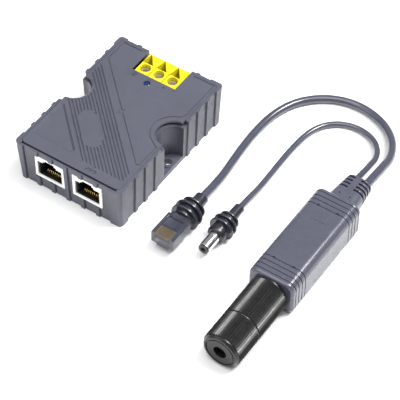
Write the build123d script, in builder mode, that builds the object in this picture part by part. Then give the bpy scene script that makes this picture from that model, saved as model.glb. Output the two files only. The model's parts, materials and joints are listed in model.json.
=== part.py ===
"""PoE injector with its splitter lead: a screw-down box and an in-line splitter with two short leads.

Millimetres, +Z up. The origin is the centre of the injector's underside, its two network sockets face -Y
and its wire terminal faces +Y. The splitter lies to the right of the box, +X, with its cable gland at -Y.
"""

from build123d import *
import os
from math import cos, pi, radians, sin, sqrt, tan

os.makedirs("parts", exist_ok=True)

# ---------------------------------------------------------------- driving dimensions: injector box
BOX_W = 57.0
BOX_L = 80.4
BOX_H = 24.0
DRAFT = 1.0
RIDGE_H = 0.65
RIDGE_W = 2.6
GROOVE_H = 0.35
CORNER_R = 2.0
WALL = 2.0
FLOOR = 2.4
WALL_TOP = 23.6
FRONT_WALL_TOP = 23.0
FRONT_WALL_T = 0.8
COVER_BOTTOM = 22.6
COVER_INSET = 1.4
COVER_GAP = 0.1
NOTCH_LIP = 0.8
SHADOW_GAP_TOP = 21.3
LIP_BOTTOM = 20.6
LIP_T = 1.2
CAVITY_W = BOX_W - 5.8
CAVITY_L = BOX_L - 5.6
CAVITY_R = 2.6

NOTCH_X = 27.3
NOTCH_Y = 2.3
NOTCH_R = 7.2
NOTCH_MOUTH = (-5.5, 8.6)
FLANGE_T = 2.8
MOUNT_HOLE_X = 24.4
MOUNT_HOLE_R = 1.9

BOARD_BOTTOM = 5.0
BOARD_T = 1.6
BOARD_TOP = BOARD_BOTTOM + BOARD_T

# network sockets of the box
JACK_X = 10.4
JACK_FACE_W = 16.2
JACK_FACE_H = 12.8
JACK_FACE_Z = 7.4
JACK_BODY_W = 15.4
BEZEL_T = 0.7
PLUG_HOLE_W = 12.0
PLUG_HOLE_Z = (8.8, 17.3)
PLUG_HOLE_DEPTH = 13.0
LATCH_SLOTS = ((6.6, 18.3), (4.4, 19.2))
FRAME_SIDE = 1.4
CONTACT_PITCH = 1.02
BEZEL_FRONT = BOX_L / 2 + 0.1
SOCKET_FACE_Y = -BEZEL_FRONT + BEZEL_T
CONTACT_R = 0.23

# wire terminal: three poles
POLES = (-7.62, 0.0, 7.62)
TERM_W = 22.86
TERM_Y = (26.2, 39.8)
TERM_TOP = 22.6
SCREW_Y = 30.4
SCREW_HEAD_R = 2.25
TERM_CUT_W = 24.2
TERM_CUT_Y = 25.9
TRIANGLE_POCKET = 7.0

COVER_SCREWS = [(x, y) for x in (-22.6, 22.6) for y in (-20.5, 32.0)]
LED_AT = (-0.6, 21.6)

# grooves on the cover: a band of parallel lines, turned from the X axis
BAND_ANGLE = -43.7
BAND_LINES = 13
BAND_FIRST_V = -3.4
BAND_PITCH = 1.53
BAND_LINE_W = 0.78
BAND_DEPTH = 0.5
TRIANGLE_DEPTH = 0.9
PANEL_LINE_DEPTH = 0.4
MARK_DEPTH = 0.35
ICON_Y = -35.6
PAD_U = (-4.0, 18.7)
PAD_V = (-19.3, -11.0)

# ---------------------------------------------------------------- driving dimensions: splitter
SPLIT_X = 106.0
SPLIT_FRONT = -39.0
SPLIT_LEN = 56.0
SPLIT_BACK = SPLIT_FRONT + SPLIT_LEN
SPLIT_W = 22.6
SPLIT_H = 18.6
SPLIT_R = 4.2
SPLIT_WALL = 1.8
AXIS_Z = SPLIT_H / 2
RING_STEPS = (2.5, 5.0, 7.5, 10.1)

GLAND_R = 9.2
GLAND_BODY_LEN = 22.0
GLAND_NECK_R = 8.0
GLAND_NECK_LEN = 9.0
GLAND_BORE_R = 7.15
NUT_LEN = 15.8
NUT_GAP = 0.9
KNURLS = 54
KNURL_DEPTH = 0.45
CABLE_R = 2.2
NUT_HOLE_R = 3.15

BOOT_LEN = 18.0
DATA_DIA = 4.0
POWER_DIA = 2.9
DATA_EXIT_X = SPLIT_X + 3.0
POWER_EXIT_X = SPLIT_X - 2.6
BOOT_END = SPLIT_BACK + BOOT_LEN

# plugs on the two leads
DATA_X = 51.3
DATA_Z = 7.2
DATA_COLLAR_END = -9.8
POWER_X = 68.0
POWER_Z = 6.2
POWER_COLLAR_END = -4.7

nodes = []


def save(part, name):
    """Labels a finished piece and writes its STEP file."""
    part.label = name
    export_step(part, f"parts/{name}.step")
    nodes.append(name)


# ================================================================= injector box: profiles
HALF_W = BOX_W / 2
HALF_L = BOX_L / 2
# where the proud corner posts end, and the grooved edge of each ridge between them
FRONT_POSTS = (-24.5, 22.0)
FRONT_RIDGES = (-16.4, -8.2, 0.0, 8.2, 16.6)
SIDE_POSTS = (-34.0, 34.8)
SIDE_RIDGES = (-29.0, -21.4, -13.8, 12.2, 19.7, 27.3)
SLOPE = 0.3


def ridge_after(edge):
    """A ridge that starts with its groove at edge, as (place along the wall, height above it) points."""
    rise = [(edge - SLOPE, 0), (edge, -GROOVE_H), (edge + SLOPE, RIDGE_H)]
    return [*rise, (edge + RIDGE_W - SLOPE, RIDGE_H), (edge + RIDGE_W, 0)]


def mirrored(points):
    return [(-along, height) for along, height in reversed(points)]


def front_wall_points():
    """The front wall from left to right: each ridge ends with its groove."""
    post = -FRONT_POSTS[0]
    points = mirrored([(post - SLOPE, 0), (post, -GROOVE_H), (post + SLOPE, RIDGE_H)])
    for edge in FRONT_RIDGES:
        points += mirrored(ridge_after(-edge))
    return [*points, (FRONT_POSTS[1], 0), (FRONT_POSTS[1] + SLOPE, RIDGE_H)]


def side_wall_points():
    """The right wall from front to back: each ridge starts with its groove."""
    points = [(SIDE_POSTS[0] - SLOPE, RIDGE_H), (SIDE_POSTS[0], 0)]
    for edge in SIDE_RIDGES:
        points += ridge_after(edge)
    post = SIDE_POSTS[1]
    return [*points, (post - SLOPE, 0), (post, -GROOVE_H), (post + SLOPE, RIDGE_H)]


def ribbed_outline(inset):
    """The box's outline, moved in by inset: flat walls with narrow ridges, and proud corner posts."""
    wall_x = HALF_W - inset
    wall_y = HALF_L - inset
    post_x = wall_x + RIDGE_H
    post_y = wall_y + RIDGE_H
    bend = CORNER_R * (1 - cos(radians(45)))
    with BuildLine() as outline:
        for sign in (-1, 1):
            front = [(x, sign * (wall_y + h)) for x, h in front_wall_points()]
            Polyline((-post_x + CORNER_R, sign * post_y), *front, (post_x - CORNER_R, sign * post_y))
            side = [(sign * (wall_x + h), y) for y, h in side_wall_points()]
            Polyline((sign * post_x, -post_y + CORNER_R), *side, (sign * post_x, post_y - CORNER_R))
            for end in (-1, 1):
                ThreePointArc(
                    (sign * (post_x - CORNER_R), end * post_y),
                    (sign * (post_x - bend), end * (post_y - bend)),
                    (sign * post_x, end * (post_y - CORNER_R)),
                )
    return outline.wires()[0]


def notch_sketch(grow):
    """Both side notches in plan, widened by grow: a round seat with a flared mouth."""
    with BuildSketch() as notches:
        for side in (-1, 1):
            flare_x = (MOUNT_HOLE_X + 0.1) * side
            half = sqrt(NOTCH_R**2 - (NOTCH_X - abs(flare_x)) ** 2)
            out_x = (HALF_W + 3) * side
            with Locations((NOTCH_X * side, NOTCH_Y)):
                Circle(NOTCH_R)
            with BuildLine():
                Polyline(
                    (flare_x, NOTCH_Y + half),
                    (HALF_W * side, NOTCH_MOUTH[1]),
                    (out_x, NOTCH_MOUTH[1]),
                    (out_x, NOTCH_MOUTH[0]),
                    (HALF_W * side, NOTCH_MOUTH[0]),
                    (flare_x, NOTCH_Y - half),
                    close=True,
                )
            make_face()
        if grow:
            offset(amount=grow, kind=Kind.ARC)
    return notches.sketch


def block(x, y, z, mode=Mode.ADD):
    """A box from three (low, high) pairs, in whatever part is being built."""
    with Locations((sum(x) / 2, sum(y) / 2, sum(z) / 2)):
        Box(x[1] - x[0], y[1] - y[0], z[1] - z[0], mode=mode)


def is_mouth_edge(edge):
    """True for the upright edges where a notch opens in the side of the box."""
    middle = edge.center()
    at_wall = abs(abs(middle.X) - HALF_W + DRAFT / 2) < DRAFT
    at_mouth = min(abs(middle.Y - y) for y in NOTCH_MOUTH) < 0.3
    return at_wall and at_mouth and edge.length > BOX_H / 2


# ================================================================= injector box: shells
with BuildPart() as base_shell:
    for level, inset in ((0, DRAFT), (WALL_TOP, 0)):
        with BuildSketch(Plane.XY.offset(level)):
            make_face(ribbed_outline(inset))
    loft(ruled=True)
    with BuildSketch(Plane.XY.offset(FLOOR)):
        RectangleRounded(CAVITY_W, CAVITY_L, CAVITY_R)
        add(notch_sketch(WALL), mode=Mode.SUBTRACT)
    extrude(amount=BOX_H, mode=Mode.SUBTRACT)
    with BuildSketch(Plane.XY.offset(FLANGE_T)):
        add(notch_sketch(0))
    extrude(amount=BOX_H, mode=Mode.SUBTRACT)
    fillet(base_shell.edges().filter_by(is_mouth_edge), 1.0)
    # the pocket that the cover lies in, and the lower walls around the notches, which leave a shadow gap
    pocket = 2 * (COVER_INSET - COVER_GAP)
    with BuildSketch(Plane.XY.offset(COVER_BOTTOM - 0.2)):
        RectangleRounded(BOX_W - pocket, BOX_L - pocket, CORNER_R)
    extrude(amount=BOX_H, mode=Mode.SUBTRACT)
    with BuildSketch(Plane.XY.offset(SHADOW_GAP_TOP)):
        add(notch_sketch(WALL + 1))
    extrude(amount=BOX_H, mode=Mode.SUBTRACT)
    # the front wall stands a little lower, with an open gap between it and the cover's edge
    gap_x = (-HALF_W + COVER_INSET + 1, HALF_W - COVER_INSET - 1)
    block(gap_x, (-HALF_L + FRONT_WALL_T, -CAVITY_L / 2), (SHADOW_GAP_TOP, BOX_H), Mode.SUBTRACT)
    block(gap_x, (-HALF_L - 2, -CAVITY_L / 2), (FRONT_WALL_TOP, BOX_H), Mode.SUBTRACT)
    # socket windows, their small vent slots, and the open back of the wire terminal
    for side in (-1, 1):
        x0 = side * JACK_X
        half = JACK_FACE_W / 2 + 0.1
        window_x = (x0 - half, x0 + half)
        window_z = (JACK_FACE_Z - 0.1, JACK_FACE_Z + JACK_FACE_H + 0.1)
        inside_y = -CAVITY_L / 2 + 1
        block(window_x, (-HALF_L - 2, inside_y), window_z, Mode.SUBTRACT)
        behind_z = (BOARD_TOP - 0.1, window_z[1])
        block(window_x, (SOCKET_FACE_Y, inside_y), behind_z, Mode.SUBTRACT)
        for vent_x in (-6.6, 0.2, 6.6):
            vent = (x0 + vent_x - 1.5, x0 + vent_x + 1.5)
            block(vent, (-HALF_L - 2, -HALF_L + 1.6), (JACK_FACE_Z - 0.9, JACK_FACE_Z), Mode.SUBTRACT)
    half = TERM_CUT_W / 2
    block((-half, half), (CAVITY_L / 2 - 0.5, HALF_L + 2), (BOARD_TOP - 0.1, BOX_H), Mode.SUBTRACT)
    # mounting holes with a raised ring, in the notch floors
    for side in (-1, 1):
        with BuildSketch(Plane.XY.offset(FLANGE_T)):
            with Locations((side * MOUNT_HOLE_X, NOTCH_Y)):
                Circle(MOUNT_HOLE_R + 1.5)
        extrude(amount=0.5)
        with Locations((side * MOUNT_HOLE_X, NOTCH_Y, 0)):
            Cylinder(MOUNT_HOLE_R, 3 * FLANGE_T, mode=Mode.SUBTRACT)
    # posts that carry the board and take the cover screws, which go in from below
    for x, y in COVER_SCREWS:
        with BuildSketch(Plane.XY.offset(FLOOR)):
            with Locations((x, y)):
                Circle(2.9)
        extrude(amount=BOARD_BOTTOM - FLOOR)
        with Locations((x, y, 0)):
            Cylinder(1.5, 4 * BOARD_BOTTOM, mode=Mode.SUBTRACT)
            Cylinder(2.7, 2 * 2.0, mode=Mode.SUBTRACT)
save(base_shell.part, "base_shell")


def band_point(u, v):
    """A point of the groove band: u along the lines, v across them."""
    a = radians(BAND_ANGLE)
    return (u * cos(a) - v * sin(a), u * sin(a) + v * cos(a))


def band_coords(x, y):
    """The same point's u and v."""
    a = radians(BAND_ANGLE)
    return (x * cos(a) + y * sin(a), -x * sin(a) + y * cos(a))


def band_line_spans(v):
    """Where the groove at v runs, as (start, end) pairs of u, clear of the notch and of the smooth pad."""
    a = radians(BAND_ANGLE)
    clear_r = NOTCH_R + 1.8
    notch_u, notch_v = band_coords(-NOTCH_X, NOTCH_Y)
    start = (-HALF_W + 2.9 + v * sin(a)) / cos(a)
    if abs(v - notch_v) < clear_r:
        start = notch_u + sqrt(clear_r**2 - (v - notch_v) ** 2)
    front_y = -HALF_L + 6.4
    end = (front_y - v * cos(a)) / sin(a)
    right_x = HALF_W - 3.2
    end = min(end, (right_x + v * sin(a)) / cos(a))
    pad_r = (PAD_V[1] - PAD_V[0]) / 2
    pad_mid = sum(PAD_V) / 2
    if abs(v - pad_mid) >= pad_r:
        return [(start, end)]
    bulge = pad_r - sqrt(pad_r**2 - (v - pad_mid) ** 2)
    return [(start, PAD_U[0] + bulge - 0.3), (PAD_U[1] - bulge + 0.3, end)]


def panel_line():
    """The thin engraved line round the large panel, as a line path."""
    ring = NOTCH_R + 3.2
    left_x, right_x, back_y = -24.9, 26.0, 37.5
    diag_v = 0.85
    a = radians(BAND_ANGLE)

    def diag_y(x):
        return (diag_v + x * sin(a)) / cos(a)

    def ring_point(angle):
        return (NOTCH_X + ring * cos(radians(angle)), NOTCH_Y + ring * sin(radians(angle)))

    lower, upper = ring_point(-129), ring_point(110)
    with BuildLine() as path:
        Polyline((-14.6, back_y), (left_x, back_y), (left_x, diag_y(left_x)), (24.6, diag_y(24.6)))
        Polyline((24.6, diag_y(24.6)), (right_x, diag_y(24.6) + 1.2), (right_x, -8.9), lower)
        ThreePointArc(lower, (NOTCH_X - ring, NOTCH_Y), upper)
        Polyline(upper, (right_x - 0.6, 13.4), (right_x, 16.0), (right_x, back_y), (14.6, back_y))
    return path.line


BOLT_ICON = [(-0.6, 2.1), (1.3, 2.1), (0.5, 0.6), (1.5, 0.6), (-1.1, -2.1), (-0.3, -0.2), (-1.5, -0.2)]

with BuildPart() as top_cover:
    with BuildSketch(Plane.XY.offset(COVER_BOTTOM)):
        RectangleRounded(BOX_W - 2 * COVER_INSET, BOX_L - 2 * COVER_INSET, CORNER_R)
        add(notch_sketch(NOTCH_LIP), mode=Mode.SUBTRACT)
        with Locations((0, TERM_CUT_Y + BOX_L / 2)):
            Rectangle(TERM_CUT_W, BOX_L, mode=Mode.SUBTRACT)
    extrude(amount=BOX_H - COVER_BOTTOM)
    rim = top_cover.edges().group_by(Axis.Z)[-1]
    chamfer(rim, 0.45)
    # locating lip inside the walls
    with BuildSketch(Plane.XY.offset(LIP_BOTTOM)):
        RectangleRounded(CAVITY_W - 0.5, CAVITY_L - 0.5, CAVITY_R)
        inner_w, inner_l = CAVITY_W - 0.5 - 2 * LIP_T, CAVITY_L - 0.5 - 2 * LIP_T
        RectangleRounded(inner_w, inner_l, CAVITY_R - LIP_T, mode=Mode.SUBTRACT)
        add(notch_sketch(WALL + 0.3), mode=Mode.SUBTRACT)
        with Locations((0, TERM_CUT_Y + BOX_L / 2)):
            Rectangle(TERM_CUT_W, BOX_L, mode=Mode.SUBTRACT)
    extrude(amount=COVER_BOTTOM - LIP_BOTTOM)
    with BuildSketch(Plane.XY.offset(LIP_BOTTOM)):
        add(notch_sketch(WALL + 0.3 + LIP_T))
        add(notch_sketch(WALL + 0.3), mode=Mode.SUBTRACT)
        RectangleRounded(CAVITY_W - 0.5, CAVITY_L - 0.5, CAVITY_R, mode=Mode.INTERSECT)
    extrude(amount=COVER_BOTTOM - LIP_BOTTOM)
    # hollow pillars down to the board, for the cover screws
    for x, y in COVER_SCREWS:
        with BuildSketch(Plane.XY.offset(BOARD_TOP + 0.1)):
            with Locations((x, y)):
                Circle(2.6)
                Circle(1.1, mode=Mode.SUBTRACT)
        extrude(amount=COVER_BOTTOM - BOARD_TOP - 0.1)
    # the band of parallel grooves
    for i in range(BAND_LINES):
        v = BAND_FIRST_V - i * BAND_PITCH
        for u0, u1 in band_line_spans(v):
            with BuildSketch(Plane.XY.offset(BOX_H)):
                with Locations(band_point((u0 + u1) / 2, v)):
                    SlotOverall(u1 - u0, BAND_LINE_W, rotation=BAND_ANGLE)
            extrude(amount=-BAND_DEPTH, taper=28, mode=Mode.SUBTRACT)
    # the sunk triangle at the front left, its long side along the band
    with BuildSketch(Plane.XY.offset(BOX_H)) as triangle:
        a = radians(BAND_ANGLE)
        left_x, front_y, hyp_v = -26.1, -32.3, -23.9
        corner_back = (left_x, (hyp_v + left_x * sin(a)) / cos(a))
        corner_right = ((hyp_v - front_y * cos(a)) / -sin(a), front_y)
        with BuildLine():
            Polyline((left_x, front_y), corner_right, corner_back, close=True)
        make_face()
        fillet(triangle.vertices(), 1.4)
    extrude(amount=-TRIANGLE_DEPTH, taper=45, mode=Mode.SUBTRACT)
    # the thin line round the large panel
    with BuildSketch(Plane.XY.offset(BOX_H)):
        trace(panel_line(), line_width=0.5)
    extrude(amount=-PANEL_LINE_DEPTH, mode=Mode.SUBTRACT)
    # light hole, polarity marks and port icons
    with Locations((*LED_AT, BOX_H)):
        Cylinder(1.65, 6, mode=Mode.SUBTRACT)
    with BuildSketch(Plane.XY.offset(BOX_H)):
        with Locations((-9.0, 23.4)):
            Circle(1.35)
            Circle(1.1, mode=Mode.SUBTRACT)
            with Locations((0, 0.35)):
                Rectangle(0.22, 0.9)
            for drop, width in ((0.0, 1.4), (-0.4, 0.9), (-0.75, 0.4)):
                with Locations((0, drop)):
                    Rectangle(width, 0.22)
        with Locations((-0.9, 24.0)):
            Rectangle(1.7, 0.3)
        with Locations((7.4, 23.4)):
            Rectangle(1.7, 0.3)
            Rectangle(0.3, 1.7)
        with Locations((12.6, 24.4)):
            Rectangle(1.5, 0.3)
    extrude(amount=-MARK_DEPTH, mode=Mode.SUBTRACT)
    with BuildSketch(Plane.XY.offset(BOX_H)):
        with Locations((-15.2, ICON_Y)):
            with BuildLine():
                Polyline(*BOLT_ICON, close=True)
            make_face()
        for dx, dy in ((0, 1.3), (-2.2, -1.4), (0, -1.4), (2.2, -1.4)):
            with Locations((10.4 + dx, ICON_Y + dy)):
                Rectangle(1.5, 1.3)
        with Locations((10.4, ICON_Y)):
            Rectangle(0.4, 2.0)
            Rectangle(4.8, 0.4)
        for dx in (-2.2, 2.2):
            with Locations((10.4 + dx, ICON_Y - 0.5)):
                Rectangle(0.4, 1.2)
    extrude(amount=-MARK_DEPTH, mode=Mode.SUBTRACT)
save(top_cover.part, "top_cover")

# ================================================================= injector box: board and its parts
with BuildPart() as circuit_board:
    with BuildSketch(Plane.XY.offset(BOARD_BOTTOM)):
        RectangleRounded(CAVITY_W - 1.0, CAVITY_L - 1.0, 2.0)
        add(notch_sketch(WALL + 0.5), mode=Mode.SUBTRACT)
    extrude(amount=BOARD_T)
    for x, y in COVER_SCREWS:
        with Locations((x, y, BOARD_BOTTOM)):
            Cylinder(1.6, 10, mode=Mode.SUBTRACT)
    for x in POLES:
        block((x - 0.9, x + 0.9), (26.8, 27.9), (0, 20), Mode.SUBTRACT)
save(circuit_board.part, "circuit_board")


def opening_profile(grow):
    """A socket's plug hole with its stepped latch recess, in X and Z about the socket's centre line."""
    low, high = PLUG_HOLE_Z
    block_h = high - low + 2 * grow
    with Locations((0, (low + high) / 2)):
        Rectangle(PLUG_HOLE_W + 2 * grow, block_h)
    for width, top in LATCH_SLOTS:
        with Locations((0, (low + top) / 2)):
            Rectangle(width + 2 * grow, top - low + 2 * grow)


def socket(x0, prefix, face_y, z_shift):
    """One network socket: a black housing with the plug hole, and its eight spring contacts."""
    back_y = face_y + 16.0
    with BuildPart() as housing:
        half = JACK_BODY_W / 2
        z = (BOARD_TOP + z_shift, JACK_FACE_Z + JACK_FACE_H - 0.3 + z_shift)
        block((x0 - half, x0 + half), (face_y, back_y), z)
        with BuildSketch(Plane.XZ.offset(-face_y).shift_origin((x0, face_y, z_shift))):
            opening_profile(0)
        extrude(amount=-PLUG_HOLE_DEPTH, mode=Mode.SUBTRACT)
        # comb slots that the contacts come up through
        for i in range(8):
            cx = x0 + (i - 3.5) * CONTACT_PITCH
            slot_x = (cx - 0.36, cx + 0.36)
            slot_z = (BOARD_TOP + 0.8 + z_shift, PLUG_HOLE_Z[0] + 0.5 + z_shift)
            block(slot_x, (face_y + 1.4, back_y - 1.2), slot_z, Mode.SUBTRACT)
    save(housing.part, f"{prefix}_housing")
    with BuildPart() as contacts:
        for i in range(8):
            cx = x0 + (i - 3.5) * CONTACT_PITCH
            low_z = BOARD_TOP + 1.2 + z_shift
            with BuildLine() as wire:
                FilletPolyline(
                    (cx, back_y - 1.8, low_z),
                    (cx, face_y + 2.0, low_z),
                    (cx, face_y + 2.6, low_z + 2.7),
                    (cx, face_y + 11.0, PLUG_HOLE_Z[0] + 2.1 + z_shift),
                    radius=0.4,
                )
            with BuildSketch(Plane(wire.line @ 0, z_dir=wire.line % 0)):
                Circle(CONTACT_R)
            sweep(path=wire.line)
    save(contacts.part, f"{prefix}_contacts")


for side, prefix in ((-1, "power_socket"), (1, "network_socket")):
    socket(side * JACK_X, prefix, SOCKET_FACE_Y + 0.05, 0.0)
    with BuildPart() as bezel:
        with BuildSketch(Plane.XZ.offset(BEZEL_FRONT).shift_origin((side * JACK_X, -BEZEL_FRONT, 0))):
            with Locations((0, JACK_FACE_Z + JACK_FACE_H / 2)):
                RectangleRounded(JACK_FACE_W, JACK_FACE_H, 0.3)
            low, high = PLUG_HOLE_Z
            with Locations((0, (low + high) / 2)):
                Rectangle(JACK_FACE_W - 2 * FRAME_SIDE, high - low, mode=Mode.SUBTRACT)
            for width, top in LATCH_SLOTS:
                with Locations((0, (low + top) / 2)):
                    Rectangle(width + 0.8, top - low, mode=Mode.SUBTRACT)
        extrude(amount=-BEZEL_T)
    save(bezel.part, f"{prefix}_bezel")


def chip(name, at, size, leads, lead_side):
    """A surface-mount package with a row of feet on two sides, standing on the board."""
    x, y, z = at
    w, d, h = size
    with BuildPart() as body:
        block((x - w / 2, x + w / 2), (y - d / 2, y + d / 2), (z + 0.15, z + h))
        chamfer(body.faces().sort_by(Axis.Z)[-1].edges(), 0.25)
        for i in range(leads):
            shift = (i - (leads - 1) / 2) * 1.27
            for s in (-1, 1):
                if lead_side == "x":
                    edge = (x + s * w / 2 - 0.45, x + s * w / 2 + 0.45)
                    block(edge, (y + shift - 0.2, y + shift + 0.2), (z, z + 0.3))
                else:
                    edge = (y + s * d / 2 - 0.45, y + s * d / 2 + 0.45)
                    block((x + shift - 0.2, x + shift + 0.2), edge, (z, z + 0.3))
    save(body.part, name)


chip("data_transformer", (0, -15.5, BOARD_TOP), (17.0, 9.6, 5.8), 10, "y")
chip("power_controller", (-13.5, 19.5, BOARD_TOP), (4.0, 5.0, 1.6), 4, "x")

with BuildPart() as power_inductor:
    with Locations((11.5, 13.5, BOARD_TOP)):
        Cylinder(6.0, 1.2, align=(Align.CENTER, Align.CENTER, Align.MIN))
        with Locations((0, 0, 1.2)):
            Cylinder(4.6, 4.6, align=(Align.CENTER, Align.CENTER, Align.MIN))
        with Locations((0, 0, 5.8)):
            Cylinder(6.0, 1.2, align=(Align.CENTER, Align.CENTER, Align.MIN))
save(power_inductor.part, "power_inductor")

with BuildPart() as input_capacitor:
    with Locations((-1.5, 6.5, BOARD_TOP)):
        Cylinder(4.0, 11.0, align=(Align.CENTER, Align.CENTER, Align.MIN))
    fillet(input_capacitor.edges().group_by(Axis.Z)[-1], 0.5)
    with BuildSketch(Plane.XY.offset(BOARD_TOP + 11.0)):
        with Locations((-1.5, 6.5)):
            Rectangle(5.0, 0.3)
            Rectangle(0.3, 5.0)
    extrude(amount=-0.3, mode=Mode.SUBTRACT)
save(input_capacitor.part, "input_capacitor")

with BuildPart() as surge_suppressors:
    for x, y in ((-13.0, 8.0), (-13.0, 12.5), (0.5, 16.8)):
        block((x - 2.6, x + 2.6), (y - 1.6, y + 1.6), (BOARD_TOP + 0.1, BOARD_TOP + 2.3))
save(surge_suppressors.part, "surge_suppressors")

with BuildPart() as status_led:
    x, y = LED_AT
    block((x - 1.6, x + 1.6), (y - 1.2, y + 1.2), (BOARD_TOP, BOARD_TOP + 1.1))
    fillet(status_led.edges().filter_by(Axis.Z), 0.2)
save(status_led.part, "status_led")

with BuildPart() as light_guide:
    with Locations((*LED_AT, BOARD_TOP + 1.2)):
        Cylinder(1.5, BOX_H - BOARD_TOP - 1.5, align=(Align.CENTER, Align.CENTER, Align.MIN))
    fillet(light_guide.edges().group_by(Axis.Z)[-1], 0.5)
    with Locations((*LED_AT, COVER_BOTTOM - 1.3)):
        Cylinder(2.4, 1.2, align=(Align.CENTER, Align.CENTER, Align.MIN))
save(light_guide.part, "light_guide")

with BuildPart() as cover_screws:
    for x, y in COVER_SCREWS:
        with Locations((x, y, 0.4)):
            Cylinder(2.4, 1.5, align=(Align.CENTER, Align.CENTER, Align.MIN))
            with Locations((0, 0, 1.5)):
                Cylinder(1.05, 11.0, align=(Align.CENTER, Align.CENTER, Align.MIN))
    for x, y in COVER_SCREWS:
        with Locations((x, y, 0.4)):
            Box(3.2, 0.6, 1.6, mode=Mode.SUBTRACT)
            Box(0.6, 3.2, 1.6, mode=Mode.SUBTRACT)
save(cover_screws.part, "cover_screws")

# ================================================================= injector box: wire terminal
CHAMBER_W = 6.6
CHAMBER_Y = (26.95, 36.6)
CHAMBER_Z = (7.6, 18.6)
PORT = 5.2
PORT_Z = (8.6, 13.8)
BAR_Z = (12.9, 13.6)

with BuildPart() as terminal_block:
    half = TERM_W / 2
    block((-half, half), TERM_Y, (BOARD_TOP, TERM_TOP))
    chamfer(terminal_block.edges().group_by(Axis.Z)[-1], 0.35)
    for x in POLES:
        chamber_x = (x - CHAMBER_W / 2, x + CHAMBER_W / 2)
        block(chamber_x, CHAMBER_Y, CHAMBER_Z, Mode.SUBTRACT)
        block((x - PORT / 2, x + PORT / 2), (CHAMBER_Y[1] - 1, TERM_Y[1] + 1), PORT_Z, Mode.SUBTRACT)
        block((x - 1.0, x + 1.0), (26.8, 27.9), (0, CHAMBER_Z[0] + 0.1), Mode.SUBTRACT)
        with Locations((x, SCREW_Y, TERM_TOP)):
            Cylinder(SCREW_HEAD_R + 0.35, 2 * (TERM_TOP - CHAMBER_Z[1]), mode=Mode.SUBTRACT)
        # a sunk triangle behind each screw, its point at the back
        with BuildSketch(Plane.XY.offset(TERM_TOP)):
            with BuildLine():
                Polyline((x - 3.6, 33.4), (x + 2.2, 33.4), (x - 2.6, TERM_Y[1] - 0.3), close=True)
            make_face()
        extrude(amount=-TRIANGLE_POCKET, taper=2, mode=Mode.SUBTRACT)
    # a slot between neighbouring poles
    for x in (POLES[0] + POLES[1]) / 2, (POLES[1] + POLES[2]) / 2:
        block((x - 0.2, x + 0.2), (TERM_Y[0] - 1, 33.6), (TERM_TOP - 1.6, TERM_TOP + 1), Mode.SUBTRACT)
        block((x - 0.2, x + 0.2), (TERM_Y[1] - 0.5, TERM_Y[1] + 1), (0, TERM_TOP + 1), Mode.SUBTRACT)
save(terminal_block.part, "terminal_block")

with BuildPart() as terminal_pins:
    for x in POLES:
        block((x - 1.8, x + 1.8), (27.0, 35.0), BAR_Z)
        block((x - 0.75, x + 0.75), (27.0, 27.7), (BOARD_BOTTOM - 1.2, BAR_Z[1]))
save(terminal_pins.part, "terminal_pins")

for number, x in enumerate(POLES, 1):
    with BuildPart() as terminal_screw:
        with Locations((x, SCREW_Y, CHAMBER_Z[1] + 0.4)):
            Cylinder(SCREW_HEAD_R, 1.9, align=(Align.CENTER, Align.CENTER, Align.MIN))
        chamfer(terminal_screw.edges().group_by(Axis.Z)[-1], 0.25)
        with Locations((x, SCREW_Y, BAR_Z[1] + 0.1)):
            Cylinder(1.4, CHAMBER_Z[1] + 0.5 - BAR_Z[1] - 0.1, align=(Align.CENTER, Align.CENTER, Align.MIN))
        with Locations((x, SCREW_Y, CHAMBER_Z[1] + 2.3)):
            Box(2 * SCREW_HEAD_R + 1, 0.7, 1.8, rotation=(0, 0, 35), mode=Mode.SUBTRACT)
    save(terminal_screw.part, f"terminal_screw_{number}")
    with BuildPart() as wire_clamp:
        block((x - 3.0, x + 3.0), (SCREW_Y - 2.4, SCREW_Y + 4.4), (8.0, 15.4))
        block((x - 2.3, x + 2.3), (SCREW_Y - 5, SCREW_Y + 5), (9.0, 13.9), Mode.SUBTRACT)
        with Locations((x, SCREW_Y, 15.0)):
            Cylinder(1.65, 4, mode=Mode.SUBTRACT)
    save(wire_clamp.part, f"wire_clamp_{number}")

# ================================================================= splitter: housing
def axis_plane(y):
    """The plane across the splitter's axis at y: x to the right, z up, its normal along -Y."""
    return Plane(origin=(SPLIT_X, y, AXIS_Z), x_dir=(1, 0, 0), z_dir=(0, -1, 0))


def rod(y0, y1, r, mode=Mode.ADD):
    """A round length on the splitter's axis between y0 and y1."""
    with BuildSketch(axis_plane(y1)) as disc:
        Circle(r)
    extrude(disc.sketch, amount=y1 - y0, mode=mode)


def ring_groove(y):
    """A narrow groove all round the housing at y."""
    with BuildSketch(axis_plane(y + 0.25)) as ring:
        RectangleRounded(SPLIT_W + 2, SPLIT_H + 2, SPLIT_R + 1)
        RectangleRounded(SPLIT_W - 0.9, SPLIT_H - 0.9, SPLIT_R - 0.45, mode=Mode.SUBTRACT)
    extrude(ring.sketch, amount=0.5, mode=Mode.SUBTRACT)


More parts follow.
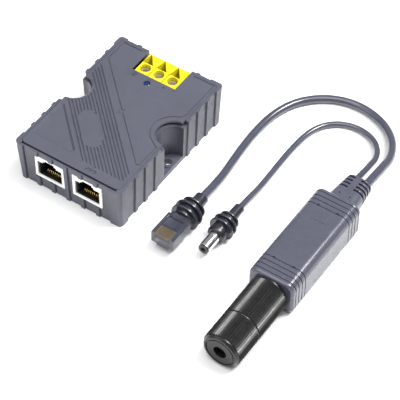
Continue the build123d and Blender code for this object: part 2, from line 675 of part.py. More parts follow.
CAP_SPLIT_Y = SPLIT_BACK - RING_STEPS[0]
with BuildPart() as splitter_housing:
    with BuildSketch(axis_plane(CAP_SPLIT_Y)):
        RectangleRounded(SPLIT_W, SPLIT_H, SPLIT_R)
    extrude(amount=CAP_SPLIT_Y - SPLIT_FRONT)
    fillet(splitter_housing.faces().sort_by(Axis.Y)[0].edges(), 1.5)
    with BuildSketch(axis_plane(CAP_SPLIT_Y)):
        RectangleRounded(SPLIT_W - 2 * SPLIT_WALL, SPLIT_H - 2 * SPLIT_WALL, SPLIT_R - SPLIT_WALL)
    extrude(amount=CAP_SPLIT_Y - SPLIT_FRONT - 3.0, mode=Mode.SUBTRACT)
    rod(SPLIT_FRONT - 1, SPLIT_FRONT + 4, GLAND_BORE_R + 0.75, Mode.SUBTRACT)
    for step in RING_STEPS:
        ring_groove(SPLIT_FRONT + step)
    for step in RING_STEPS[1:]:
        ring_groove(SPLIT_BACK - step)
    # pairs of small dots on the top, and a short engraved line beside the maker's place
    for y in (SPLIT_FRONT + RING_STEPS[-1], SPLIT_BACK - RING_STEPS[-1]):
        for dx in (-5.0, 5.0):
            with Locations((SPLIT_X + dx, y, SPLIT_H)):
                Cylinder(0.75, 2.0, mode=Mode.SUBTRACT)
    line_y = SPLIT_BACK - 18.0
    line_x = (SPLIT_X - 4.2, SPLIT_X + 4.2)
    block(line_x, (line_y - 0.18, line_y + 0.18), (SPLIT_H - 0.25, SPLIT_H + 1), Mode.SUBTRACT)
save(splitter_housing.part, "splitter_housing")

with BuildPart() as splitter_end_cap:
    with BuildSketch(axis_plane(SPLIT_BACK)):
        RectangleRounded(SPLIT_W, SPLIT_H, SPLIT_R)
    extrude(amount=RING_STEPS[0] - 0.35)
    fillet(splitter_end_cap.faces().sort_by(Axis.Y)[-1].edges(), 1.5)
    with BuildSketch(axis_plane(CAP_SPLIT_Y + 0.4)):
        inner_w, inner_h = SPLIT_W - 2 * SPLIT_WALL - 0.2, SPLIT_H - 2 * SPLIT_WALL - 0.2
        RectangleRounded(inner_w, inner_h, SPLIT_R - SPLIT_WALL)
        RectangleRounded(inner_w - 3, inner_h - 3, 1.0, mode=Mode.SUBTRACT)
    extrude(amount=3.4)
save(splitter_end_cap.part, "splitter_end_cap")

# ================================================================= splitter: inner parts
SPLIT_BOARD_Z = 2.0
SPLIT_BOARD_W = 15.6
SPLIT_BOARD_TOP = SPLIT_BOARD_Z + 1.2
SPLIT_SOCKET_Y = SPLIT_FRONT + 3.3
with BuildPart() as splitter_board:
    board_y = (SPLIT_SOCKET_Y + 0.3, CAP_SPLIT_Y - 4.2)
    board_x = (SPLIT_X - SPLIT_BOARD_W / 2, SPLIT_X + SPLIT_BOARD_W / 2)
    block(board_x, board_y, (SPLIT_BOARD_Z, SPLIT_BOARD_TOP))
save(splitter_board.part, "splitter_board")

SOCKET_SHIFT = SPLIT_BOARD_TOP + 0.05 - BOARD_TOP
socket(SPLIT_X, "splitter_socket", SPLIT_SOCKET_Y, SOCKET_SHIFT)
INNER_Y = SPLIT_SOCKET_Y + 16.0
chip("splitter_transformer", (SPLIT_X, INNER_Y + 6.4, SPLIT_BOARD_TOP), (13.0, 9.0, 8.0), 6, "y")
chip("splitter_controller", (SPLIT_X - 4.5, INNER_Y + 14.6, SPLIT_BOARD_TOP), (4.0, 5.0, 1.6), 4, "x")

with BuildPart() as splitter_capacitor:
    with Locations((SPLIT_X + 4.2, INNER_Y + 15.2, SPLIT_BOARD_TOP)):
        Cylinder(3.15, 11.0, align=(Align.CENTER, Align.CENTER, Align.MIN))
    fillet(splitter_capacitor.edges().group_by(Axis.Z)[-1], 0.4)
save(splitter_capacitor.part, "splitter_capacitor")


def knurled_outline(r):
    """A round profile with fine lengthwise ribs."""
    points = []
    for i in range(2 * KNURLS):
        angle = pi * i / KNURLS
        radius = r if i % 2 == 0 else r - KNURL_DEPTH
        points.append((radius * cos(angle), radius * sin(angle)))
    with BuildLine() as outline:
        Polyline(*points, close=True)
    return outline.wires()[0]


# ================================================================= splitter: cable gland
GLAND_FRONT = SPLIT_FRONT - GLAND_BODY_LEN
NECK_END = GLAND_FRONT - GLAND_NECK_LEN
NUT_BACK = GLAND_FRONT - NUT_GAP
NUT_FRONT = NUT_BACK - NUT_LEN
NUT_BORE_R = GLAND_NECK_R + 0.3
NUT_FACE_T = 2.2

with BuildPart() as gland_body:
    with BuildSketch(axis_plane(SPLIT_FRONT - 1.4)):
        make_face(knurled_outline(GLAND_R))
    extrude(amount=GLAND_BODY_LEN - 1.4)
    rod(SPLIT_FRONT - 1.4, SPLIT_FRONT - 0.05, GLAND_R - 1.0)
    rod(NECK_END, GLAND_FRONT, GLAND_NECK_R)
    rod(SPLIT_FRONT - 0.1, SPLIT_FRONT + 2.9, GLAND_BORE_R + 0.65)
    rod(NECK_END - 1, SPLIT_FRONT + 4, GLAND_BORE_R, Mode.SUBTRACT)
    for i in range(3):
        groove_y = GLAND_FRONT - 2.6 - 2.0 * i
        with BuildSketch(axis_plane(groove_y)):
            Circle(GLAND_NECK_R + 1)
            Circle(GLAND_NECK_R - 0.35, mode=Mode.SUBTRACT)
        extrude(amount=0.9, mode=Mode.SUBTRACT)
save(gland_body.part, "gland_body")

RING_R = 0.38
with BuildPart() as gland_o_ring:
    with BuildSketch(Plane.XY.offset(AXIS_Z)):
        with Locations((SPLIT_X + GLAND_NECK_R + RING_R, GLAND_FRONT - RING_R - 0.02)):
            Circle(RING_R)
    revolve(axis=Axis((SPLIT_X, 0, AXIS_Z), (0, 1, 0)))
save(gland_o_ring.part, "gland_o_ring")

with BuildPart() as gland_nut:
    with BuildSketch(axis_plane(NUT_BACK)):
        make_face(knurled_outline(GLAND_R))
    extrude(amount=NUT_LEN - 1.6)
    rod(NUT_FRONT + 1.0, NUT_FRONT + 1.7, GLAND_R - KNURL_DEPTH)
    with BuildSketch(axis_plane(NUT_FRONT + 1.1)):
        Circle(GLAND_R - KNURL_DEPTH)
    extrude(amount=1.1, taper=35)
    rod(NUT_FRONT + NUT_FACE_T, NUT_BACK + 1, NUT_BORE_R, Mode.SUBTRACT)
    rod(NUT_FRONT - 1, NUT_BACK, NUT_HOLE_R, Mode.SUBTRACT)
    with BuildSketch(axis_plane(NUT_FRONT + 0.45)):
        Circle(7.1)
        Circle(6.5, mode=Mode.SUBTRACT)
    extrude(amount=1.0, mode=Mode.SUBTRACT)
save(gland_nut.part, "gland_nut")

CLAW_R = GLAND_BORE_R - 0.35
CLAW_FRONT = NUT_FRONT + NUT_FACE_T + 0.3
CLAW_BACK = NECK_END + 6.4
SEAL_R = 5.0
with BuildPart() as gland_claw:
    rod(CLAW_FRONT, NECK_END - 0.3, GLAND_NECK_R - 0.6)
    rod(NECK_END - 0.4, CLAW_BACK, CLAW_R)
    rod(CLAW_FRONT - 1, CLAW_BACK + 1, SEAL_R + 0.05, Mode.SUBTRACT)
    for i in range(4):
        with Locations(Location((SPLIT_X, (NECK_END + CLAW_BACK) / 2, AXIS_Z), (0, 45 * i, 0))):
            Box(2 * CLAW_R + 2, CLAW_BACK - NECK_END + 1.2, 0.9, mode=Mode.SUBTRACT)
save(gland_claw.part, "gland_claw")

with BuildPart() as gland_seal:
    rod(CLAW_FRONT + 0.2, CLAW_BACK + 0.6, SEAL_R)
    rod(CLAW_FRONT - 1, CLAW_BACK + 2, CABLE_R, Mode.SUBTRACT)
save(gland_seal.part, "gland_seal")

# ================================================================= splitter: lead boot
BOOT_ROOT = (15.4, 10.8)
BOOT_TIP = (12.3, 8.4)
with BuildPart() as lead_boot:
    with BuildSketch(axis_plane(SPLIT_BACK + 0.05)):
        RectangleRounded(*BOOT_ROOT, 3.8)
    with BuildSketch(axis_plane(SPLIT_BACK + 8.0)):
        RectangleRounded(BOOT_ROOT[0] - 1.3, BOOT_ROOT[1] - 0.9, 3.8)
    with BuildSketch(axis_plane(BOOT_END)):
        RectangleRounded(*BOOT_TIP, 3.8)
    loft(ruled=True)
    for i in range(4):
        slot_y = SPLIT_BACK + 9.2 + 2.3 * i
        for s in (-1, 1):
            x_side = sorted((SPLIT_X + s * 1.5, SPLIT_X + s * 12))
            block(x_side, (slot_y, slot_y + 1.05), (AXIS_Z + 2.2, SPLIT_H), Mode.SUBTRACT)
            block(x_side, (slot_y, slot_y + 1.05), (0, AXIS_Z - 2.2), Mode.SUBTRACT)
            outer = sorted((SPLIT_X + s * 5.2, SPLIT_X + s * 12))
            block(outer, (slot_y, slot_y + 1.05), (0, SPLIT_H), Mode.SUBTRACT)
    for dx in (-2.7, 2.7):
        with Locations((SPLIT_X + dx, SPLIT_BACK + 4.8, AXIS_Z + 5.3)):
            Cylinder(0.4, 2.4, mode=Mode.SUBTRACT)
save(lead_boot.part, "lead_boot")

# ================================================================= leads
DATA_ROUTE = [
    (DATA_EXIT_X, BOOT_END - 0.5, AXIS_Z),
    (109.1, 47.2, 8.6),
    (108.8, 59.6, 5.6),
    (102.0, 72.8, 3.2),
    (90.0, 81.1, 2.3),
    (75.3, 83.3, 2.1),
    (61.6, 78.5, 2.1),
    (51.3, 67.8, 2.1),
    (46.8, 53.8, 2.1),
    (46.4, 36.4, 2.1),
    (48.2, 19.0, 2.3),
    (50.8, 4.8, 4.8),
    (DATA_X, DATA_COLLAR_END - 0.5, DATA_Z),
]
POWER_ROUTE = [
    (POWER_EXIT_X, BOOT_END - 0.5, AXIS_Z),
    (103.6, 46.2, 8.0),
    (102.8, 57.5, 4.8),
    (96.0, 67.5, 2.4),
    (84.9, 71.0, 1.7),
    (73.9, 67.6, 1.55),
    (67.3, 58.1, 1.55),
    (65.9, 43.9, 1.55),
    (66.3, 27.3, 1.55),
    (67.5, 12.4, 3.2),
    (68.0, 3.0, 5.6),
    (POWER_X, POWER_COLLAR_END - 0.5, POWER_Z),
]


def lead(route, diameter, name):
    """A round lead along the route: straight runs joined by arcs as large as the runs allow."""
    points = [Vector(*p) for p in route]
    radii = []
    for before, here, after in zip(points, points[1:], points[2:]):
        run = min((here - before).length, (after - here).length)
        turn = radians((here - before).get_angle(after - here))
        radii.append(0.45 * run / tan(turn / 2))
    with BuildPart() as tube:
        with BuildLine() as path:
            FilletPolyline(*route, radius=radii)
        centre = path.wires()[0]
        with BuildSketch(Plane(centre @ 0, z_dir=centre % 0)):
            Circle(diameter / 2)
        sweep(path=centre)
    length = centre.length
    ratio = tube.part.volume / (pi * diameter**2 / 4 * length)
    print(f"{name}: length {length:.1f}, least radius {min(radii):.1f}")
    print(f"   volume over section x length {ratio:.4f}")
    print("   radii", [round(r, 1) for r in radii])
    save(tube.part, name)


lead(DATA_ROUTE, DATA_DIA, "data_lead")
lead(POWER_ROUTE, POWER_DIA, "power_lead")


def turned(x, z, profile, name):
    """A round piece about an axis along Y: profile is a closed list of (radius, y) points."""
    with BuildPart() as piece:
        with BuildSketch(Plane.XY.offset(z)):
            with BuildLine():
                Polyline(*[(x + r, y) for r, y in profile], close=True)
            make_face()
        revolve(axis=Axis((x, 0, z), (0, 1, 0)))
    save(piece.part, name)


def grommet_profile(steps, y0):
    """Turns (radius, distance behind y0) steps into a closed profile that starts and ends on the axis."""
    rings = [(r, y0 + behind) for r, behind in steps]
    return [(0, rings[0][1]), *rings, (0, rings[-1][1])]


# ================================================================= network plug
PLUG_W = 11.68
PLUG_FRONT = -41.0
PLUG_BACK = -27.6
PLUG_Z = (4.6, 11.2)
DATA_STEPS = [
    (4.9, 2.1),
    (4.9, 3.3),
    (6.9, 3.4),
    (7.1, 3.65),
    (7.1, 4.35),
    (6.9, 4.6),
    (5.1, 4.7),
    (5.1, 6.7),
    (6.9, 6.8),
    (7.1, 7.05),
    (7.1, 7.75),
    (6.9, 8.0),
    (4.5, 8.1),
    (4.5, 10.4),
    (5.7, 10.5),
    (5.9, 10.75),
    (5.9, 11.35),
    (5.7, 11.6),
    (3.4, 11.7),
    (3.2, DATA_COLLAR_END - PLUG_BACK),
]
turned(DATA_X, DATA_Z, grommet_profile(DATA_STEPS, PLUG_BACK), "network_plug_grommet")

with BuildPart() as network_plug_body:
    half = PLUG_W / 2
    block((DATA_X - half, DATA_X + half), (PLUG_FRONT, PLUG_BACK), PLUG_Z)
    chamfer(network_plug_body.edges().filter_by(Axis.Y), 0.35)
    # the narrower tail that the grommet is moulded over
    tail_y = (PLUG_BACK - 0.2, PLUG_BACK + 2.0)
    block((DATA_X - 4.8, DATA_X + 4.8), tail_y, (PLUG_Z[0] + 0.3, PLUG_Z[1] - 0.8))
    # slots over the contacts, open at the nose
    for i in range(8):
        cx = DATA_X + (i - 3.5) * CONTACT_PITCH
        slot_y = (PLUG_FRONT - 1, PLUG_FRONT + 6.2)
        block((cx - 0.3, cx + 0.3), slot_y, (PLUG_Z[1] - 2.6, PLUG_Z[1] + 1), Mode.SUBTRACT)
    # the shallow window over the wires
    window_y = (PLUG_FRONT + 7.2, PLUG_BACK - 1.6)
    block((DATA_X - 4.4, DATA_X + 4.4), window_y, (PLUG_Z[1] - 0.8, PLUG_Z[1] + 1), Mode.SUBTRACT)
save(network_plug_body.part, "network_plug_body")

with BuildPart() as network_plug_contacts:
    for i in range(8):
        cx = DATA_X + (i - 3.5) * CONTACT_PITCH
        blade_y = (PLUG_FRONT + 0.5, PLUG_FRONT + 5.6)
        block((cx - 0.16, cx + 0.16), blade_y, (PLUG_Z[1] - 2.5, PLUG_Z[1] - 0.35))
save(network_plug_contacts.part, "network_plug_contacts")

LATCH_PIVOT = (PLUG_FRONT + 1.0, PLUG_Z[0] - 0.9)
with BuildPart() as network_plug_latch:
    with BuildSketch(Plane.YZ.offset(DATA_X - 3.1)):
        with BuildLine():
            z0 = PLUG_Z[0]
            Polyline(
                (PLUG_FRONT + 0.2, z0 - 0.25),
                (PLUG_FRONT + 0.2, z0 - 1.3),
                (PLUG_FRONT + 5.0, z0 - 2.4),
                (PLUG_BACK + 0.6, z0 - 3.6),
                (PLUG_BACK + 0.6, z0 - 2.7),
                (PLUG_FRONT + 5.0, z0 - 1.4),
                (PLUG_FRONT + 1.6, z0 - 0.25),
                close=True,
            )
        make_face()
    extrude(amount=6.2)
    for s in (-1, 1):
        narrow = sorted((DATA_X + s * 1.7, DATA_X + s * 5))
        block(narrow, (PLUG_FRONT + 5.6, PLUG_BACK + 2), (0, z0), Mode.SUBTRACT)
save(network_plug_latch.part, "network_plug_latch")

# ================================================================= power plug
BARREL_R = 2.75
BARREL_TIP = -33.8
BARREL_ROOT = -24.5
POWER_BACK = -21.8
POWER_STEPS = [
    (3.9, 0.0),
    (3.9, 1.9),
    (5.9, 2.0),
    (6.1, 2.25),
    (6.1, 2.85),
    (5.9, 3.1),
    (4.2, 3.2),
    (4.2, 5.0),
    (5.7, 5.1),
    (5.9, 5.35),
    (5.9, 5.95),
    (5.7, 6.2),
    (3.7, 6.3),
    (3.7, 8.3),
    (4.6, 8.4),
    (4.8, 8.65),
    (4.8, 9.15),
    (4.6, 9.4),
    (2.7, 9.5),
    (2.5, POWER_COLLAR_END - POWER_BACK),
]
COLLET_FRONT = BARREL_ROOT + 0.05
turned(POWER_X, POWER_Z, grommet_profile(POWER_STEPS, POWER_BACK), "power_plug_grommet")
boot_back = POWER_BACK - 0.05
BOOT_PROFILE = [
    (2.55, boot_back),
    (4.4, boot_back),
    (4.4, boot_back - 1.6),
    (3.9, COLLET_FRONT),
    (2.55, COLLET_FRONT),
]
turned(POWER_X, POWER_Z, BOOT_PROFILE, "power_plug_boot")
barrel_end = BARREL_TIP + 0.8
BARREL_PROFILE = [
    (2.1, boot_back),
    (2.5, boot_back),
    (2.5, BARREL_ROOT),
    (BARREL_R, BARREL_ROOT),
    (BARREL_R, barrel_end),
    (2.1, barrel_end),
]
turned(POWER_X, POWER_Z, BARREL_PROFILE, "power_plug_barrel")
tip_back = barrel_end - 0.05
TIP_PROFILE = [
    (1.3, boot_back),
    (2.05, boot_back),
    (2.05, tip_back),
    (2.5, tip_back),
    (2.5, BARREL_TIP),
    (1.3, BARREL_TIP),
]
turned(POWER_X, POWER_Z, TIP_PROFILE, "power_plug_tip")
CONTACT_PROFILE = [(1.05, boot_back), (1.28, boot_back), (1.28, BARREL_TIP + 0.6), (1.05, BARREL_TIP + 0.6)]
turned(POWER_X, POWER_Z, CONTACT_PROFILE, "power_plug_contact")

print(len(nodes), "nodes")
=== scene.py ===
"""Looks of the PoE injector and its splitter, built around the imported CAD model. Metres, in the CAD frame."""

import json
import math

import bpy
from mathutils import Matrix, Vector


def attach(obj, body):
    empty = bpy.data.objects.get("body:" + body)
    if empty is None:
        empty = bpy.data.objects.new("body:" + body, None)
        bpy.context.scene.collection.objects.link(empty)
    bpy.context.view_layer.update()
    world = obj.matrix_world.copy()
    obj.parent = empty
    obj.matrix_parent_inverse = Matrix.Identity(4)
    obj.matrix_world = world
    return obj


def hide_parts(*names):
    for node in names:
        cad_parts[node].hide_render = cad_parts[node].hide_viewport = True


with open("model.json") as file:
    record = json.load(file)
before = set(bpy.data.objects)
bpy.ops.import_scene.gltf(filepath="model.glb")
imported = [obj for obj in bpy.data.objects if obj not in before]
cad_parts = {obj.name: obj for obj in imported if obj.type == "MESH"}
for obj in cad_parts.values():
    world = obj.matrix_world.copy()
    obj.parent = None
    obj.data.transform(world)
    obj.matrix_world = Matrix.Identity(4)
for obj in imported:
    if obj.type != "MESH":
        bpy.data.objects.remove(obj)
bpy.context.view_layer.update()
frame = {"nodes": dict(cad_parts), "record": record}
nodes = frame["nodes"]
MM = 0.001

# ================================================================= camera
VIEW_AZIMUTH = math.radians(34.12)
VIEW_ELEVATION = math.radians(48.96)
VIEW_DISTANCE = 0.8141
VIEW_TARGET = Vector((0.0478, -0.0063, 0.0))
LENS_MM = 162.4
SENSOR_MM = 36.0


def direction(azimuth, elevation):
    """The unit vector from the object towards a place at that azimuth and elevation; azimuth 0 is at -Y."""
    level = math.cos(elevation)
    return Vector((math.sin(azimuth) * level, -math.cos(azimuth) * level, math.sin(elevation)))


def make_camera():
    data = bpy.data.cameras.new("camera")
    data.lens = LENS_MM
    data.sensor_width = SENSOR_MM
    camera = bpy.data.objects.new("camera", data)
    bpy.context.scene.collection.objects.link(camera)
    back = direction(VIEW_AZIMUTH, VIEW_ELEVATION)
    camera.location = VIEW_TARGET + back * VIEW_DISTANCE
    camera.rotation_mode = "QUATERNION"
    camera.rotation_quaternion = (-back).to_track_quat("-Z", "Y")
    bpy.context.scene.camera = camera


make_camera()

# ================================================================= leads
DATA_DIAMETER = 0.0040
DATA_ROUTE = [
    (0.1090, 0.0345, 0.0093),
    (0.1091, 0.0472, 0.0086),
    (0.1088, 0.0596, 0.0056),
    (0.1020, 0.0728, 0.0032),
    (0.0900, 0.0811, 0.0023),
    (0.0753, 0.0833, 0.0021),
    (0.0616, 0.0785, 0.0021),
    (0.0513, 0.0678, 0.0021),
    (0.0468, 0.0538, 0.0021),
    (0.0464, 0.0364, 0.0021),
    (0.0482, 0.0190, 0.0023),
    (0.0508, 0.0048, 0.0048),
    (0.0513, -0.0103, 0.0072),
]
POWER_DIAMETER = 0.0029
POWER_ROUTE = [
    (0.1034, 0.0345, 0.0093),
    (0.1036, 0.0462, 0.0080),
    (0.1028, 0.0575, 0.0048),
    (0.0960, 0.0675, 0.0024),
    (0.0849, 0.0710, 0.0017),
    (0.0739, 0.0676, 0.00155),
    (0.0673, 0.0581, 0.00155),
    (0.0659, 0.0439, 0.00155),
    (0.0663, 0.0273, 0.00155),
    (0.0675, 0.0124, 0.0032),
    (0.0680, 0.0030, 0.0056),
    (0.0680, -0.0052, 0.0062),
]


CURVE_STEPS = 20
ROUND_STEPS = 8


def make_lead(name, route, diameter, node):
    """A lead as one smooth spline that stands for its plain CAD tube, which is hidden."""
    curve = bpy.data.curves.new(name, "CURVE")
    curve.dimensions = "3D"
    curve.resolution_u = CURVE_STEPS
    curve.bevel_depth = 1.0
    curve.bevel_resolution = ROUND_STEPS
    curve.use_fill_caps = True
    spline = curve.splines.new("NURBS")
    spline.points.add(len(route) - 1)
    for point, place in zip(spline.points, route):
        point.co = (*place, 1.0)
        point.radius = diameter / 2
    spline.order_u = 3
    spline.use_endpoint_u = True
    lead = bpy.data.objects.new(name, curve)
    bpy.context.scene.collection.objects.link(lead)
    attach(lead, "splitter")
    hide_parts(node)
    return lead


data_cable = make_lead("data_cable", DATA_ROUTE, DATA_DIAMETER, "data_lead")
power_cable = make_lead("power_cable", POWER_ROUTE, POWER_DIAMETER, "power_lead")


# ================================================================= materials
class Finish:
    """One material: a Principled shader, with calls that feed it from procedural textures in frame metres."""

    def __init__(self, name, **values):
        self.material = bpy.data.materials.new(name)
        self.material.use_nodes = True
        self.tree = self.material.node_tree
        self.shader = self.tree.nodes["Principled BSDF"]
        for socket, value in values.items():
            self.shader.inputs[socket.replace("_", " ")].default_value = value
        self.place = self.add("ShaderNodeTexCoord").outputs["Object"]
        self.normal = None

    def add(self, kind, links=(), **settings):
        """A node with its properties set, and its inputs given as (socket, value or output) pairs."""
        node = self.tree.nodes.new(kind)
        for key, value in settings.items():
            setattr(node, key, value)
        for socket, value in links:
            self.feed(node.inputs[socket], value)
        return node

    def feed(self, socket, value):
        if isinstance(value, bpy.types.NodeSocket):
            self.tree.links.new(value, socket)
        else:
            socket.default_value = value

    def noise(self, cell, stretch=(1, 1, 1), detail=2.0, harsh=0.5):
        """Noise from 0 to 1, in patches about cell metres across, longer where the stretch is small."""
        place = self.add("ShaderNodeMapping", [("Vector", self.place), ("Scale", stretch)]).outputs["Vector"]
        links = [("Vector", place), ("Scale", 1 / cell), ("Detail", detail), ("Roughness", harsh)]
        return self.add("ShaderNodeTexNoise", links).outputs["Fac"]

    def span(self, factor, low, high, start=0.3, end=0.7):
        """The factor's stretch from start to end, laid out from low to high."""
        links = [("Value", factor), ("From Min", start), ("From Max", end), ("To Min", low), ("To Max", high)]
        return self.add("ShaderNodeMapRange", links).outputs["Result"]

    def blend(self, factor, first, second):
        """A colour between two others."""
        node = self.add("ShaderNodeMix", data_type="RGBA")
        self.feed(node.inputs["Factor"], factor)
        self.feed(node.inputs[6], first)
        self.feed(node.inputs[7], second)
        return node.outputs[2]

    def colour(self, value):
        self.feed(self.shader.inputs["Base Color"], value)
        return self

    def roughness(self, value):
        self.feed(self.shader.inputs["Roughness"], value)
        return self

    def relief(self, height, depth):
        """Raises the surface by up to depth metres where height is 1."""
        links = [("Height", height), ("Distance", depth), ("Strength", 1.0)]
        if self.normal is not None:
            links.append(("Normal", self.normal))
        self.normal = self.add("ShaderNodeBump", links).outputs["Normal"]
        self.feed(self.shader.inputs["Normal"], self.normal)
        return self


def rgb(red, green, blue):
    return (red, green, blue, 1.0)


def shade(colour, factor):
    """The same colour, lighter or darker."""
    return rgb(*(min(1.0, c * factor) for c in colour[:3]))


GRAIN_CELL = 0.35 * MM


def moulded(name, colour, rough, grain_depth=0.010 * MM, **values):
    """Injection-moulded plastic: a fine spark-eroded grain, broad flow marks, and uneven polish."""
    finish = Finish(name, **values)
    flow = finish.noise(26 * MM, detail=3.0)
    finish.colour(finish.blend(finish.span(flow, 0.0, 1.0), shade(colour, 0.94), shade(colour, 1.06)))
    finish.roughness(finish.span(finish.noise(3.5 * MM, detail=4.0), rough - 0.05, rough + 0.07))
    finish.relief(finish.noise(GRAIN_CELL, detail=2.0, harsh=0.6), grain_depth)
    finish.relief(flow, 0.01 * MM)
    return finish.material


def rubbery(name, colour, rough, **values):
    """Soft moulded rubber or PVC: a faint orange peel and darker, smoother patches."""
    finish = Finish(name, IOR=1.50, **values)
    patches = finish.noise(5 * MM, detail=3.0)
    finish.colour(finish.blend(finish.span(patches, 0.0, 1.0), shade(colour, 0.90), shade(colour, 1.10)))
    finish.roughness(finish.span(finish.noise(1.2 * MM, detail=3.0), rough - 0.03, rough + 0.04))
    finish.relief(finish.noise(0.5 * MM, detail=2.0), 0.002 * MM)
    return finish.material


def metal(name, colour, rough, cell, stretch, depth, soil=0.85):
    """Plated metal with tool marks stretched along one axis, and slightly dull patches."""
    finish = Finish(name, Metallic=1.0)
    marks = finish.noise(cell, stretch=stretch, detail=4.0, harsh=0.7)
    dull = finish.noise(2.5 * MM, detail=3.0)
    finish.colour(finish.blend(finish.span(dull, 0.0, 1.0), colour, shade(colour, soil)))
    finish.roughness(finish.span(marks, rough, rough + 0.14))
    finish.relief(marks, depth)
    return finish.material


SLATE = rgb(0.066, 0.069, 0.092)
SLATE_GLOSS = rgb(0.062, 0.065, 0.090)
YELLOW = rgb(0.78, 0.66, 0.012)
BLACK = rgb(0.012, 0.012, 0.014)
GLAND_BLACK = rgb(0.010, 0.010, 0.010)
GREY_RUBBER = rgb(0.020, 0.022, 0.032)
JACKET_GREY = rgb(0.052, 0.055, 0.078)


def board_laminate():
    """Green solder mask over copper tracks that show through as lighter lines."""
    finish = Finish("board_laminate", Coat_Weight=0.4, Coat_Roughness=0.15)
    links = [("Vector", finish.place), ("Scale", 420.0)]
    cells = finish.add("ShaderNodeTexVoronoi", links, distance="MANHATTAN", feature="F1").outputs["Distance"]
    tracks = finish.span(cells, 0.0, 1.0, 0.42, 0.46)
    finish.colour(finish.blend(tracks, rgb(0.012, 0.105, 0.040), rgb(0.030, 0.190, 0.075)))
    finish.roughness(finish.span(finish.noise(4 * MM), 0.32, 0.45))
    finish.relief(tracks, 0.03 * MM)
    return finish.material


def terminal_plastic():
    """Bright yellow polyamide, slightly clear at thin edges."""
    finish = Finish("terminal_plastic", Subsurface_Weight=0.12, Subsurface_Scale=0.0012, IOR=1.53)
    flow = finish.noise(4 * MM, detail=3.0)
    finish.colour(finish.blend(finish.span(flow, 0.0, 1.0), shade(YELLOW, 0.75), shade(YELLOW, 0.9)))
    finish.roughness(finish.span(finish.noise(0.8 * MM, detail=3.0), 0.30, 0.42))
    finish.relief(finish.noise(0.3 * MM), 0.006 * MM)
    return finish.material


def clear_plug():
    """Smoky clear polycarbonate with faint flow lines inside."""
    finish = Finish("clear_plug", Transmission_Weight=0.72, IOR=1.56)
    flow = finish.noise(2.2 * MM, stretch=(1.0, 0.25, 1.0), detail=3.0)
    finish.colour(finish.blend(finish.span(flow, 0.0, 1.0), rgb(0.07, 0.075, 0.11), rgb(0.13, 0.14, 0.19)))
    finish.roughness(finish.span(finish.noise(1.5 * MM), 0.05, 0.16))
    finish.relief(flow, 0.02 * MM)
    return finish.material


def light_guide():
    """Deep blue tinted acrylic."""
    finish = Finish("light_guide", Transmission_Weight=0.35, IOR=1.49, Coat_Weight=0.5)
    haze = finish.noise(1.0 * MM)
    finish.colour(finish.blend(finish.span(haze, 0.0, 1.0), rgb(0.006, 0.018, 0.10), rgb(0.014, 0.040, 0.20)))
    finish.roughness(finish.span(finish.noise(0.5 * MM), 0.08, 0.2))
    return finish.material


def capacitor_can():
    """Brushed bare aluminium."""
    finish = Finish("capacitor_can", Metallic=0.8)
    marks = finish.noise(0.5 * MM, stretch=(1, 1, 0.2), detail=3.0)
    finish.colour(finish.blend(finish.span(marks, 0.0, 1.0), rgb(0.45, 0.46, 0.49), rgb(0.62, 0.63, 0.66)))
    finish.roughness(finish.span(marks, 0.22, 0.40))
    finish.relief(marks, 0.01 * MM)
    return finish.material


materials = {
    "shell_plastic": moulded("shell_plastic", SLATE, 0.38),
    "splitter_plastic": moulded(
        "splitter_plastic", SLATE_GLOSS, 0.24, grain_depth=0.001 * MM, Coat_Weight=0.25
    ),
    "bezel_plastic": moulded("bezel_plastic", rgb(0.88, 0.88, 0.87), 0.40, grain_depth=0.004 * MM),
    "socket_plastic": moulded("socket_plastic", BLACK, 0.42),
    "contact_gold": metal("contact_gold", rgb(0.93, 0.66, 0.24), 0.16, 0.4 * MM, (1, 0.2, 1), 0.004 * MM),
    "terminal_plastic": terminal_plastic(),
    "screw_steel": metal("screw_steel", rgb(0.70, 0.67, 0.58), 0.24, 0.3 * MM, (1, 1, 1), 0.012 * MM),
    "board_laminate": board_laminate(),
    "package_black": moulded("package_black", rgb(0.020, 0.020, 0.022), 0.5),
    "capacitor_can": capacitor_can(),
    "led_body": moulded("led_body", rgb(0.75, 0.77, 0.78), 0.3),
    "light_guide": light_guide(),
    "gland_plastic": moulded("gland_plastic", GLAND_BLACK, 0.30, grain_depth=0.001 * MM, IOR=1.42),
    "soft_rubber": rubbery("soft_rubber", GREY_RUBBER, 0.20, Coat_Weight=0.3, Coat_Roughness=0.10),
    "boot_rubber": rubbery("boot_rubber", SLATE_GLOSS, 0.30),
    "lead_jacket": rubbery("lead_jacket", JACKET_GREY, 0.18, Coat_Weight=0.4, Coat_Roughness=0.10),
    "clear_plug": clear_plug(),
    "barrel_metal": metal(
        "barrel_metal", rgb(0.80, 0.80, 0.81), 0.09, 0.25 * MM, (0.2, 1, 0.2), 0.003 * MM, soil=0.95
    ),
    "tip_insulator": moulded("tip_insulator", BLACK, 0.35),
}

for entry in frame["record"]["subparts"]:
    piece = nodes[entry["node"]]
    piece.data.materials.clear()
    piece.data.materials.append(materials[entry["material_slot"]])
for lead in (data_cable, power_cable):
    lead.data.materials.append(materials["lead_jacket"])


# ================================================================= edges of the CAD pieces
WELD_DISTANCE = 0.002 * MM
FLAT_ANGLE = math.radians(0.5)
SHARP_ANGLE = math.radians(38.0)
BEVEL_STEPS = 2
NORMAL_WEIGHT = 80


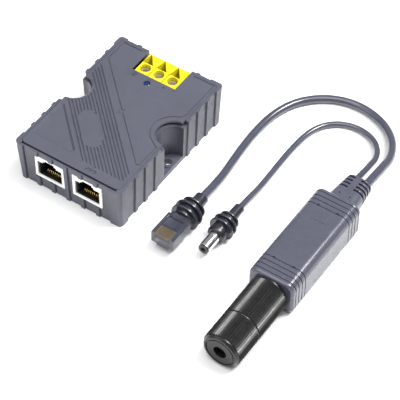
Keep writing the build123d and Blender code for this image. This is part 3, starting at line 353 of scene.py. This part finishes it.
def soften(name, radius):
    """Rounds a CAD piece's sharp edges with modifiers, which leave its mesh as it is."""
    piece = nodes[name]
    weld = piece.modifiers.new("weld", "WELD")
    weld.merge_threshold = WELD_DISTANCE
    flat = piece.modifiers.new("flat", "DECIMATE")
    flat.decimate_type = "DISSOLVE"
    flat.angle_limit = FLAT_ANGLE
    bevel = piece.modifiers.new("bevel", "BEVEL")
    bevel.width = radius
    bevel.segments = BEVEL_STEPS
    bevel.limit_method = "ANGLE"
    bevel.angle_limit = SHARP_ANGLE
    bevel.use_clamp_overlap = True
    bevel.harden_normals = False
    for face in piece.data.polygons:
        face.use_smooth = True
    weights = piece.modifiers.new("weights", "WEIGHTED_NORMAL")
    weights.keep_sharp = False
    weights.weight = NORMAL_WEIGHT


EDGES = {
    "base_shell": 0.25,
    "top_cover": 0.12,
    "power_socket_bezel": 0.12,
    "network_socket_bezel": 0.12,
    "power_socket_housing": 0.10,
    "network_socket_housing": 0.10,
    "terminal_block": 0.15,
    "splitter_housing": 0.12,
    "splitter_end_cap": 0.12,
    "lead_boot": 0.25,
    "network_plug_grommet": 0.10,
    "power_plug_grommet": 0.10,
    "network_plug_body": 0.12,
    "network_plug_latch": 0.12,
    "power_plug_boot": 0.15,
    "power_plug_barrel": 0.12,
    "power_plug_tip": 0.10,
    "light_guide": 0.08,
}
for node_name, radius_mm in EDGES.items():
    soften(node_name, radius_mm * MM)


# ================================================================= floor, light and background
FLOOR_REACH = 4.0
AIM = Vector((0.045, 0.0, 0.0))


def make_floor():
    mesh = bpy.data.meshes.new("floor")
    r = FLOOR_REACH
    corners = [(-r, -r, 0), (r, -r, 0), (r, r, 0), (-r, r, 0)]
    mesh.from_pydata(corners, [], [(0, 1, 2, 3)])
    floor = bpy.data.objects.new("floor", mesh)
    bpy.context.scene.collection.objects.link(floor)
    finish = Finish("floor", Specular_IOR_Level=0.1)
    finish.colour(rgb(0.93, 0.93, 0.935))
    finish.roughness(0.9)
    mesh.materials.append(finish.material)


def make_softbox(name, azimuth, elevation, distance, width, height, watts):
    """A rectangular light that faces the object."""
    data = bpy.data.lights.new(name, "AREA")
    data.shape = "RECTANGLE"
    data.size = width
    data.size_y = height
    data.energy = watts
    lamp = bpy.data.objects.new(name, data)
    bpy.context.scene.collection.objects.link(lamp)
    towards = direction(math.radians(azimuth), math.radians(elevation))
    lamp.location = AIM + towards * distance
    lamp.rotation_mode = "QUATERNION"
    lamp.rotation_quaternion = (-towards).to_track_quat("-Z", "Y")


def make_world(strength):
    world = bpy.data.worlds.new("studio")
    bpy.context.scene.world = world
    world.use_nodes = True
    background = world.node_tree.nodes["Background"]
    background.inputs["Color"].default_value = rgb(1.0, 1.0, 1.0)
    background.inputs["Strength"].default_value = strength


make_floor()
make_softbox("key", azimuth=132, elevation=60, distance=1.1, width=0.36, height=0.36, watts=16)
make_softbox("overhead", azimuth=10, elevation=82, distance=1.2, width=1.0, height=1.0, watts=12)
make_softbox("fill", azimuth=-40, elevation=35, distance=1.3, width=0.9, height=0.7, watts=4)
make_world(0.33)
bpy.context.scene.view_settings.view_transform = "Standard"
